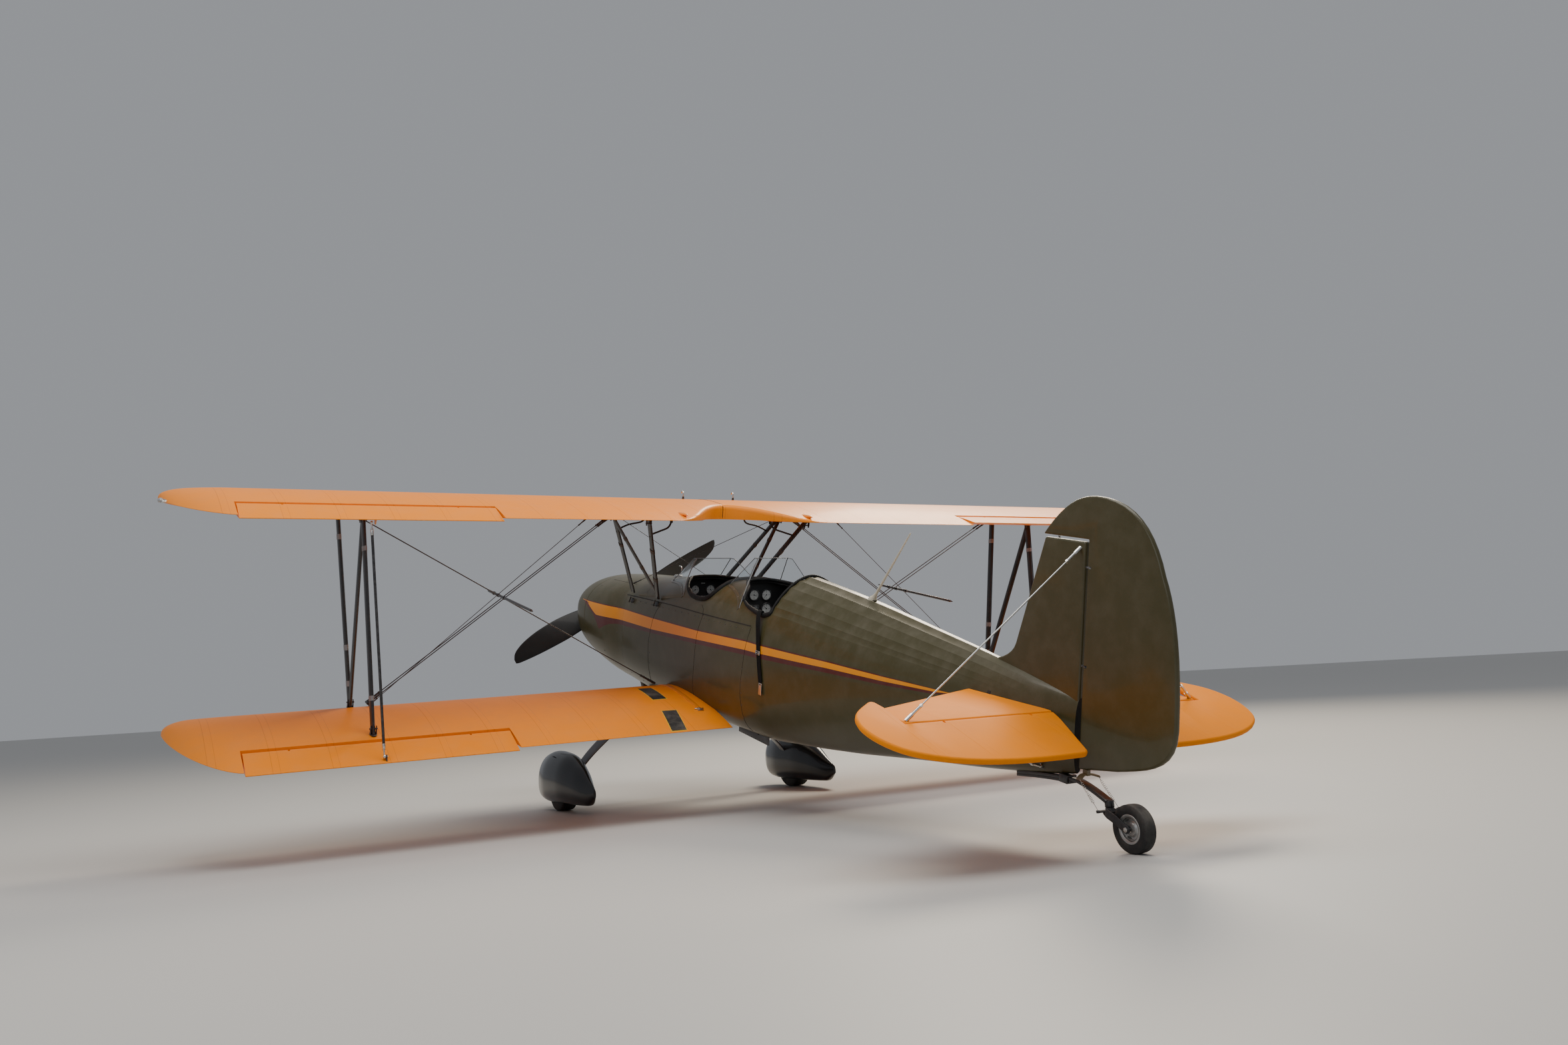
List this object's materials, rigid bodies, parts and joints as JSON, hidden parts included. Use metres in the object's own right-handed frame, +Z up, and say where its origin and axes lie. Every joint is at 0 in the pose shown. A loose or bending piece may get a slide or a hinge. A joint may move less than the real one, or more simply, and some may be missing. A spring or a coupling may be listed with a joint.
{
  "type": "biplane",
  "caption": "Two-seat open-cockpit sport biplane on tailwheel gear: staggered strut-braced wings, faired main wheels, turning propeller and hinged control surfaces.",
  "frame": {"origin": "on the ground under the middle of the whole machine's bounding box, as it stands on its main wheels and tailwheel", "axes": "+X towards the left wing tip, +Y aft with the nose at -Y, +Z up"},
  "size_m": [7.2954, 6.3286, 2.1819],
  "materials": {
    "olive_paint": "gloss",
    "orange_paint": "gloss",
    "black_paint": "satin",
    "navy_paint": "gloss",
    "engine_metal": "satin",
    "exhaust_steel": "satin",
    "stay_steel": "satin",
    "seat_metal": "satin",
    "black_leather": "satin",
    "black_webbing": "matt",
    "clear_acrylic": "clear",
    "black_composite": "gloss",
    "white_plastic": "satin",
    "tyre_rubber": "matt"
  },
  "bodies": {
    "airframe": {"nose_bowl": "olive_paint", "engine_cowl": "olive_paint", "engine_block": "engine_metal", "exhaust_stack_left": "exhaust_steel", "exhaust_stack_right": "exhaust_steel", "forward_fuselage": "olive_paint", "rear_fuselage": "olive_paint", "fin": "olive_paint", "stabilizer_left": "orange_paint", "stabilizer_right": "orange_paint", "upper_wing_left": "orange_paint", "upper_wing_right": "orange_paint", "lower_wing_left": "orange_paint", "lower_wing_right": "orange_paint", "interplane_strut_left": "black_paint", "interplane_strut_right": "black_paint", "cabane_strut_left": "black_paint", "cabane_strut_right": "black_paint", "flying_wires_left": "stay_steel", "flying_wires_right": "stay_steel", "landing_wires_left": "stay_steel", "landing_wires_right": "stay_steel", "tail_wire_upper_left": "stay_steel", "tail_wire_upper_right": "stay_steel", "tail_wire_lower_left": "stay_steel", "tail_wire_lower_right": "stay_steel", "gear_leg_left": "navy_paint", "gear_leg_right": "navy_paint", "wheel_pant_left": "navy_paint", "wheel_pant_right": "navy_paint", "tail_spring": "black_paint", "antenna": "white_plastic", "front_coaming": "black_leather", "rear_coaming": "black_leather", "front_seat": "seat_metal", "rear_seat": "seat_metal", "front_cushion": "black_leather", "rear_cushion": "black_leather", "front_windshield": "clear_acrylic", "rear_windshield": "clear_acrylic", "front_panel": "black_paint", "rear_panel": "black_paint", "control_sticks": "black_paint", "harness_strap": "black_webbing"},
    "propeller": {"propeller_blades": "black_composite", "spinner": "black_composite"},
    "main_wheel_left": {"wheel_left": "tyre_rubber"},
    "main_wheel_right": {"wheel_right": "tyre_rubber"},
    "tail_fork": {"tailwheel_fork": "black_paint"},
    "tail_wheel": {"tailwheel": "tyre_rubber"},
    "rudder": {"rudder": "olive_paint"},
    "elevators": {"elevator_left": "orange_paint", "elevator_right": "orange_paint"},
    "aileron_upper_left": {"aileron_upper_left": "orange_paint"},
    "aileron_upper_right": {"aileron_upper_right": "orange_paint"},
    "aileron_lower_left": {"aileron_lower_left": "orange_paint"},
    "aileron_lower_right": {"aileron_lower_right": "orange_paint"},
    "slave_strut_left": {"slave_strut_left": "black_paint"},
    "slave_strut_right": {"slave_strut_right": "black_paint"}
  },
  "joints": [
    {"name": "propeller_spin", "type": "hinge", "parent": "airframe", "child": "propeller", "pos_m": [0, -2.98669, 1.56907], "axis": [0, 0.9757, -0.219], "continuous": true},
    {"name": "wheel_left_spin", "type": "hinge", "parent": "airframe", "child": "main_wheel_left", "pos_m": [0.945, -1.78517, 0.17985], "axis": [1, 0, 0], "continuous": true},
    {"name": "wheel_right_spin", "type": "hinge", "parent": "airframe", "child": "main_wheel_right", "pos_m": [-0.945, -1.78517, 0.17985], "axis": [1, 0, 0], "continuous": true},
    {"name": "tailwheel_steer", "type": "hinge", "parent": "airframe", "child": "tail_fork", "pos_m": [0, 2.66083, 0.18285], "axis": [0, 0, 1], "range_deg": [-30, 30]},
    {"name": "tailwheel_spin", "type": "hinge", "parent": "tail_fork", "child": "tail_wheel", "pos_m": [0, 2.79483, 0.10285], "axis": [1, 0, 0], "continuous": true},
    {"name": "rudder_swing", "type": "hinge", "parent": "airframe", "child": "rudder", "pos_m": [0, 2.5086, 0.33569], "axis": [0, 0.219, 0.9757], "range_deg": [-30, 30]},
    {"name": "elevator_swing", "type": "hinge", "parent": "airframe", "child": "elevators", "pos_m": [0, 2.4332, 0.58423], "axis": [1, 0, 0], "range_deg": [-13, 40]},
    {"name": "aileron_lower_left_swing", "type": "hinge", "parent": "airframe", "child": "aileron_lower_left", "pos_m": [1.726, -0.51707, 0.58158], "axis": [0.9999, 0.0013, -0.0142], "range_deg": [-15, 25]},
    {"name": "aileron_lower_right_swing", "type": "hinge", "parent": "airframe", "child": "aileron_lower_right", "pos_m": [-1.726, -0.51707, 0.58158], "axis": [0.9999, -0.0013, 0.0142], "range_deg": [-25, 15]},
    {"name": "aileron_upper_left_swing", "type": "hinge", "parent": "airframe", "child": "aileron_upper_left", "pos_m": [1.798, -0.54383, 1.93043], "axis": [0.9946, 0.103, -0.0162], "range_deg": [-15, 25]},
    {"name": "aileron_upper_right_swing", "type": "hinge", "parent": "airframe", "child": "aileron_upper_right", "pos_m": [-1.798, -0.54383, 1.93043], "axis": [0.9946, -0.103, 0.0162], "range_deg": [-25, 15]},
    {"name": "slave_strut_left_pivot", "type": "hinge", "parent": "aileron_lower_left", "child": "slave_strut_left", "pos_m": [2.47978, -0.34052, 0.5224], "axis": [0.9999, 0.0013, -0.0142], "range_deg": [-26, 16]},
    {"name": "slave_strut_right_pivot", "type": "hinge", "parent": "aileron_lower_right", "child": "slave_strut_right", "pos_m": [-2.48022, -0.33478, 0.55363], "axis": [0.9999, -0.0013, 0.0142], "range_deg": [-16, 26]}
  ],
  "couplings": [
    {"joint": "aileron_lower_right_swing", "follows": "aileron_lower_left_swing", "ratio": -1},
    {"joint": "aileron_upper_left_swing", "follows": "aileron_lower_left_swing", "ratio": 1},
    {"joint": "aileron_upper_right_swing", "follows": "aileron_lower_left_swing", "ratio": -1},
    {"joint": "slave_strut_left_pivot", "follows": "aileron_lower_left_swing", "ratio": -1.034},
    {"joint": "slave_strut_right_pivot", "follows": "aileron_lower_left_swing", "ratio": 1.034},
    {"joint": "tailwheel_steer", "follows": "rudder_swing", "ratio": 1}
  ]
}
